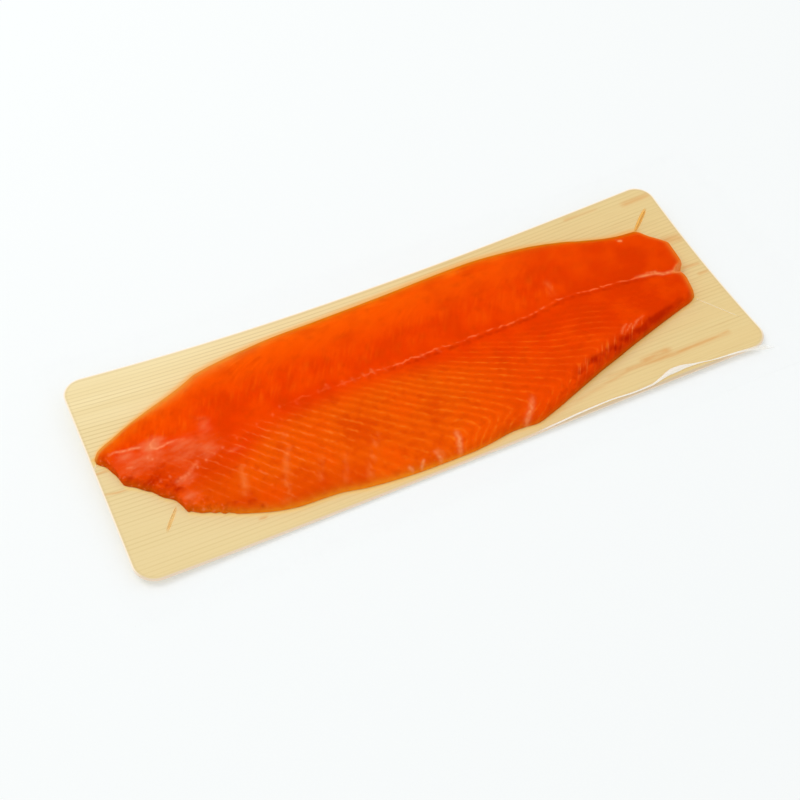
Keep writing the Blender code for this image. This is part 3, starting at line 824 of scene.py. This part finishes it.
def card_material():
    """Card printed with pale wood grain: satin print over fine embossed lengthwise lines, with a
    painted glow round the fish, of light through its flesh, and painted shade with an orange tint
    behind its back."""
    material, add = new_material("printed wood-grain card")
    knots, fillet_glow, behind = (add("Attribute", out="Fac", attribute_name=name)
                            for name in ("knots", "fillet_glow", "behind"))
    place = add("TexCoord", out="Object")
    x, y = (add("SeparateXYZ", {0: place}, out=axis) for axis in ("X", "Y"))
    towards_tail, towards_back, far_half, near_side, wide_start, wide_end = (
        add("MapRange", {0: way, 1: low, 2: high, 3: bottom}, **EASED)
        for way, low, high, bottom in ((x, -0.2, 0.2, 0), (y, -0.02, 0.085, 0),
                                       (y, -0.08, 0.03, 0.6), (y, -0.07, -0.08, 0),
                                       (x, 0.03, 0.08, 0), (x, 0.205, 0.185, 0)))

    # embossed lines, a little wavy, deeper in some places and towards the head end
    line = add("Math", {0: blotches(add, (240, 30, 1000)), 1: 1.8 * MM, 2: y},
               operation="MULTIPLY_ADD")
    line = add("Math", {0: line, 1: GRAIN_PITCH * MM}, operation="DIVIDE")
    line = add("Math", {0: line, 1: 0.5}, operation="PINGPONG")
    line = add("MapRange", {0: line, 1: 0.24, 2: 0.0}, **EASED)
    fading = add("Math", {0: towards_tail, 1: -0.25, 2: 1.0}, operation="MULTIPLY_ADD")
    depth = patches(add, (160, 11, 1000), 0.3, 0.62, 0.1, 0.36)
    for factor in (far_half, fading, line):
        depth = add("Math", {0: depth, 1: factor}, operation="MULTIPLY")
    growing = add("Math", {0: towards_tail, 1: 0.7, 2: 0.3}, operation="MULTIPLY_ADD")
    grain = add("Math", {0: patches(add, (45, 1.4, 1000), 0.5, 0.72, 0, 0.22, 3.0), 1: growing},
                operation="MULTIPLY")
    knots = add("Math", {0: knots, 1: patches(add, (16, 2, 1000), 0.25, 0.6, 0.3, 0.8)},
                operation="MULTIPLY")

    # die-cut rim: the print is pressed down in a crease, and a pale band is partly bare card and
    # partly painted highlight; the band is widest on the near side, and darker there: painted shade
    # of the cut edge
    past = add("VectorMath", {0: place}, operation="ABSOLUTE")
    straight = ((BOARD_LENGTH / 2 - BOARD_CORNER) * MM, (BOARD_WIDTH / 2 - BOARD_CORNER) * MM, 1)
    past = add("VectorMath", {0: past, 1: straight}, operation="SUBTRACT")
    past = add("VectorMath", {0: past, 1: (0, 0, 0)}, operation="MAXIMUM")
    past = add("VectorMath", {0: past}, out="Value", operation="LENGTH")
    rim = add("Math", {0: (BOARD_CORNER - 0.9) * MM, 1: past}, operation="SUBTRACT")
    wide_part = add("Math", {0: wide_start, 1: wide_end}, operation="MULTIPLY")
    extra = add("Math", {0: wide_part, 1: -0.8 * MM, 2: -0.3 * MM}, operation="MULTIPLY_ADD")
    rim = add("Math", {0: near_side, 1: extra, 2: rim}, operation="MULTIPLY_ADD")
    crease = add("Math", {0: rim, 1: 0.9 * MM}, operation="SUBTRACT")
    crease = add("Math", {0: crease}, operation="ABSOLUTE")
    crease = add("MapRange", {0: crease, 1: 0.9 * MM, 2: 0.2 * MM, 4: 0.2}, **EASED)
    edge_sheen_and_shade = add("MapRange", {0: rim, 1: 0.4 * MM, 2: -0.4 * MM}, **EASED)
    near_edge_shade = painted(add, "#E6D2B6", [(wide_part, "#D6C09C")])

    colour = painted(add, "#EDD59C", (
        (towards_back, "#F7E3AE"), (towards_tail, "#EACE90"),
        (patches(add, (300, 14, 1000), 0.35, 0.7, 0, 0.4), "#EAD296"),
        (depth, "#C2A25E"), (grain, "#CFA566"), (knots, "#DE9C50"),
        (patches(add, 1.3, 0.55, 0.8, 0, 0.12), "#D9BC80"),
        # pale edge band: partly bare card, partly painted highlight; darker on the near side:
        # painted shade
        (crease, "#CDB68E"), (edge_sheen_and_shade, painted(add, "#FFF2DE", [(near_side, near_edge_shade)])),
        # painted glow round the fillet, then painted shade and orange tint behind the back
        (fillet_glow, "#FFDC80"), (behind, "#F8AC42"),
    ))
    relief = add("Bump", {"Height": line, "Strength": 0.15, "Distance": 0.1 * MM}, invert=True)
    shader = add("BsdfPrincipled", {"Base Color": colour, "Roughness": 0.5,
                                    "Specular IOR Level": 0.2, "Normal": relief})
    add("OutputMaterial", {"Surface": shader})
    return material


def card_core():
    """Cut edge of the card: bare pale fibre, matt, in thin layers."""
    material, add = new_material("cut card edge")
    colour = painted(add, "#F2D8BE", [(blotches(add, (16, 16, 0.3)), "#FCE8D4")])
    shader = add("BsdfPrincipled", {"Base Color": colour, "Roughness": 0.8,
                                    "Specular IOR Level": 0.2})
    add("OutputMaterial", {"Surface": shader})
    return material


def beside_fillet(x, y):
    """Distance outside the fillet's outline."""
    level = np.clip(x, HEAD_END, 205)
    near, far = belly_edge(level), back_edge(level)
    cut = tail_cut(np.clip((y - near) / (far - near), 0, 1))
    out_x = np.maximum(x - cut, HEAD_END - x)
    return np.hypot(np.maximum(out_x, 0), np.maximum(np.maximum(near - y, y - far), 0))


def make_board():
    """A flat sheet with rounded corners, thickened, its edges eased, then curled."""
    card = flat_grid("board_card", BOARD_COLUMNS, BOARD_ROWS)
    flat = corners(card)
    straight = BOARD_LENGTH / 2 - BOARD_CORNER
    # columns crowd into the rounded corners
    step = flat[:, 0] * (BOARD_COLUMNS / 2)
    inner = BOARD_COLUMNS / 2 - CORNER_COLUMNS
    turn = np.clip((abs(step) - inner) / CORNER_COLUMNS, 0, 1) * np.pi / 2
    x = np.sign(step) * (straight * np.minimum(abs(step) / inner, 1) + BOARD_CORNER * np.sin(turn))
    half = BOARD_WIDTH / 2 - BOARD_CORNER * (1 - np.cos(turn))
    y = flat[:, 1] * half
    shape(card, x, y, 0 * x)
    thicken(card, "thickness", BOARD_THICK)
    round_off = card.modifiers.new("eased edge", "BEVEL")
    round_off.width, round_off.segments = EDGE_EASE * MM, 2
    round_off.limit_method = "ANGLE"
    bpy.ops.object.modifier_apply(modifier=round_off.name)
    place = corners(card) / MM
    x, y = place[:, 0], place[:, 1]
    shape(card, x, y, place[:, 2] + curl(x, y) + BOARD_BASE)
    mark(card, "knots", strokes(x, y, KNOT_STREAKS))
    away = beside_fillet(x, y)
    # lighter round the fillet: a painted glow of light through the flesh, against its contact shade
    mark(card, "fillet_glow", 0.75 * bump(away, 2.1))
    # behind the back the flesh shades and tints the board as far as it is high
    reach = 0.72 * back(x) - 2.5
    behind = 0.66 * (1 - ease((away - reach + 1.5) / 5)) * (y > back_edge(x) - 1)
    mark(card, "behind", behind)
    bpy.ops.object.shade_smooth_by_angle(angle=np.radians(40))
    card.data.materials.append(card_material())
    card.data.materials.append(card_core())
    for face in card.data.polygons:
        if abs(face.normal.z) < 0.8:
            face.material_index = 1
    return card


card = make_board()
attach(card, "root")
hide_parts("board")


# --- Pouch ------------------------------------------------------------------------------------

FILM_COLUMNS, FILM_ROWS = 300, 132
FILM_LAYER, FILM_PAIR = 0.08, 0.2  # one layer, and both where they lie together
FILM_BASE, FILM_CLEARANCE = 0.1, 0.25  # over the table's line, and over what it is drawn on
SEAM_INSET, SEAM_WIDTH = 8.0, 4.0  # welded seam near the pouch's edge


def film_material():
    """Clear vacuum pouch film, 80 microns: nearly invisible where it clings, a faint sheen where
    it is loose and along its welded seams, stronger at a glancing angle."""
    material, add = new_material("clear vacuum pouch film")
    loose = add("Attribute", out="Fac", attribute_name="loose")
    relief = add("Bump", {"Height": blotches(add, 14, 4.0), "Strength": 0.3, "Distance": 0.6 * MM})
    clear = add("BsdfTransparent", {"Color": "#FFFFFF"})
    gloss = add("BsdfAnisotropic", {"Color": "#FFFFFF", "Roughness": 0.12, "Normal": relief})
    facing = add("LayerWeight", {"Normal": relief}, out="Facing")
    glancing = add("Math", {0: facing, 1: 3.5}, operation="POWER")
    sheen = add("Math", {0: glancing, 1: 0.08, 2: 0.004}, operation="MULTIPLY_ADD")
    share = add("Math", {0: loose, 1: 0.8, 2: 0.2}, operation="MULTIPLY_ADD")
    sheen = add("Math", {0: sheen, 1: share}, operation="MULTIPLY")
    add("OutputMaterial", {"Surface": add("MixShader", {0: sheen, 1: clear, 2: gloss})})
    return material


def spread_high(height, reach):
    """Each cell takes the highest value within reach cells, so that the film clears it."""
    out = height.copy()
    for i in range(-reach, reach + 1):
        for j in range(-reach, reach + 1):
            if i * i + j * j <= reach * reach:
                out = np.maximum(out, np.roll(height, (i, j), (0, 1)))
    return out


def soften(height, rounds):
    for _ in range(rounds):
        padded = np.pad(height, 1, mode="edge")
        height = (padded[:-2, 1:-1] + padded[2:, 1:-1] + padded[1:-1, :-2] + padded[1:-1, 2:]
                  + 4 * height) / 8
    return height


def make_film():
    """One flat sheet thickened into two, the upper one drawn down tight over the food."""
    film = flat_grid("pouch_film", FILM_COLUMNS, FILM_ROWS)
    flat = (corners(film) + 1) / 2
    x = FILM_HEAD + flat[:, 0] * (FILM_TAIL - FILM_HEAD)
    y = FILM_NEAR + flat[:, 1] * (FILM_FAR - FILM_NEAR)
    shape(film, x, y, 0 * x)
    thicken(film, "two sheets", FILM_PAIR)
    place = corners(film) / MM
    x, y, upper = place[:, 0], place[:, 1], place[:, 2] > FILM_PAIR / 2
    grid = (FILM_ROWS + 1, FILM_COLUMNS + 1)
    xs, ys = np.meshgrid(np.linspace(FILM_HEAD, FILM_TAIL, grid[1]),
                         np.linspace(FILM_NEAR, FILM_FAR, grid[0]))
    top = fillet_top(xs, ys)
    tight = np.maximum(soften(spread_high(top, 1), 1), top) + FILM_CLEARANCE
    column = np.rint((x - FILM_HEAD) / (FILM_TAIL - FILM_HEAD) * FILM_COLUMNS).astype(int)
    row = np.rint((y - FILM_NEAR) / (FILM_FAR - FILM_NEAR) * FILM_ROWS).astype(int)
    low = film_height(x, y) + FILM_BASE
    z = np.where(upper, np.maximum(tight[row, column], low + FILM_PAIR), low)
    shape(film, x, y, z)
    rim = np.min([x - FILM_HEAD, FILM_TAIL - x, y - FILM_NEAR, FILM_FAR - y], 0)
    seam = bump(rim - SEAM_INSET, SEAM_WIDTH / 2)
    mark(film, "loose", ease(off_board(x, y) / 4) * (1 + 2 * seam))
    bpy.ops.object.shade_smooth_by_angle(angle=np.radians(60))
    return film


film = make_film()
film.data.materials.append(film_material())
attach(film, "root")
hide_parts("film")


# --- Folds and creases of the film -------------------------------------------------------------

FOLD_ROWS, FOLD_COLUMNS, CREASE_COLUMNS = 6, 220, 48
FOLD_LIFT, FOLD_BULGE, FOLD_DROP, FOLD_VEIL = 0.4, 0.18, 0.3, 0.64
CREASE_LIFT = 0.12
# Fold of spare film along the board's near edge: its inner and its outer side
FOLD_INNER = ((40, -84), (60, -82.9), (80, -81.8), (100, -81.5), (120, -82.8), (132, -82.4),
              (142, -79.8), (148, -77.4), (154, -76.1), (159, -76.3), (171, -79.2), (184, -81.8),
              (204, -83.2), (213, -84), (222, -85), (228, -87.6), (233, -89))
FOLD_OUTER = ((40, -85.2), (60, -84.2), (80, -83.1), (100, -82.6), (120, -84), (132, -83.8),
              (142, -82), (148, -81), (156, -80.7), (163, -80.2), (174, -80.9), (184, -82.6),
              (204, -84.8), (213.5, -86.6), (222.5, -89), (228, -89.8), (233, -90))
# Creases: first end, last end, width, how far they stand up, how dense they look
OIL_CREASES = (((200.4, 46.8), (220.8, 64), 3.7, 0.1, 0.78),
               ((-192.5, -40), (-204.5, -56), 2.6, 0.1, 0.35))
# the dry creases are white with the same painted highlight as the fold
DRY_CREASES = (((206, -27.5), (226, -58.4), 0.9, 0.1, 0.22),
               ((-230.8, 6), (-228, 10.5), 0.9, 0.1, 0.25))


def veiled_material(name, colour_of, size, detail, low, high, bottom):
    """A thin layer that shows as far as the piece's veil says, in patches: an oil stain, and the
    painted highlight of folded film.
    """
    material, add = new_material(name)
    veil = add("Attribute", out="Fac", attribute_name="veil")
    shown = patches(add, size, low, high, bottom, 1.0, detail)
    cover = add("Math", {0: veil, 1: shown}, operation="MULTIPLY")
    shader = add("BsdfPrincipled", {"Base Color": colour_of(add), "Roughness": 0.3,
                                    "Specular IOR Level": 0.2, "Alpha": cover})
    add("OutputMaterial", {"Surface": shader})
    return material


def fold_highlight_material():
    """Film folded on itself, white where it is doubled: a painted highlight of the bent film."""
    def white(add):
        return painted(add, "#FFF8EA", [(blotches(add, 3), "#FFFFFA")])
    return veiled_material("pouch film fold, painted highlight", white, (9, 2, 4), 2.0, 0.25, 0.55, 0.8)


def oil_material():
    """Orange fish oil drawn along a crease under the film: a clear amber stain."""
    def amber(add):
        vein = add("Attribute", out="Fac", attribute_name="vein")
        return painted(add, "#FFC458", [(vein, "#D08C24")])
    return veiled_material("salmon oil in a film crease", amber, 3, 3.0, 0.2, 0.6, 0.6)


def thin_ribbon(name, columns, lay):
    """A strip of film: a flat grid laid by lay(along, across), then given its thickness."""
    strip = flat_grid(name, columns, FOLD_ROWS)
    flat = corners(strip)
    lay(strip, (flat[:, 0] + 1) / 2, flat[:, 1])
    thicken(strip, "film", FILM_LAYER)
    bpy.ops.object.shade_smooth_by_angle(angle=np.radians(60))
    strip.visible_shadow = False
    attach(strip, "root")
    return strip


def lay_fold(strip, along, across):
    """The doubled film bulges over the board's edge and ends in the loose margin."""
    first, last = FOLD_INNER[0][0], FOLD_INNER[-1][0]
    x = first + along * (last - first)
    inner, outer = curve(FOLD_INNER)(x), curve(FOLD_OUTER)(x)
    y = outer + (inner - outer) * (across + 1) / 2
    outside = np.maximum(-BOARD_WIDTH / 2 - y, 0)
    top = np.maximum(fillet_top(x, y), curl(x, y) + BOARD_TOP)
    bulge = FOLD_BULGE * (inner - outer) * (1 - across**2)
    shape(strip, x, y, top + FOLD_LIFT + bulge - FOLD_DROP * outside)
    thin = 0.5 * ease((x - 202) / 10) * (across + 1) / 2
    # how far the fold's painted highlight shows
    mark(strip, "veil", (FOLD_VEIL - thin) * ease(along * 12) * ease((1 - along) * 14))


def lay_crease(first, last, width, height, dense):
    """Lays a straight crease of the film from its first end to its last."""
    def lay(strip, along, across):
        dx, dy = last[0] - first[0], last[1] - first[1]
        long = np.hypot(dx, dy)
        half = width / 2 * np.sqrt(np.clip(3 * along * (1.02 - along), 0.03, 1))
        x = first[0] + dx * along - dy / long * across * half
        y = first[1] + dy * along + dx / long * across * half
        # two fine ridges side by side
        ridges = height * (abs(across) * (2 - 2 * abs(across)) * 2)
        shape(strip, x, y, fillet_top(x, y) + FILM_CLEARANCE + CREASE_LIFT + ridges)
        veil = dense * (0.4 + 0.6 * (1 - abs(2 * abs(across) - 1)))
        mark(strip, "veil", veil * ease((1 - along) * 4))
        mark(strip, "vein", bump(across + 0.35, 0.25))
    return lay


fold = thin_ribbon("film_fold", FOLD_COLUMNS, lay_fold)
fold.data.materials.append(fold_highlight_material())
for kind, creases, stain_and_highlight in (("oil", OIL_CREASES, oil_material()),
                              ("dry", DRY_CREASES, fold_highlight_material())):
    for end, line in zip(("tail", "head"), creases):
        crease = thin_ribbon(f"{kind}_crease_{end}", CREASE_COLUMNS, lay_crease(*line))
        crease.data.materials.append(stain_and_highlight)
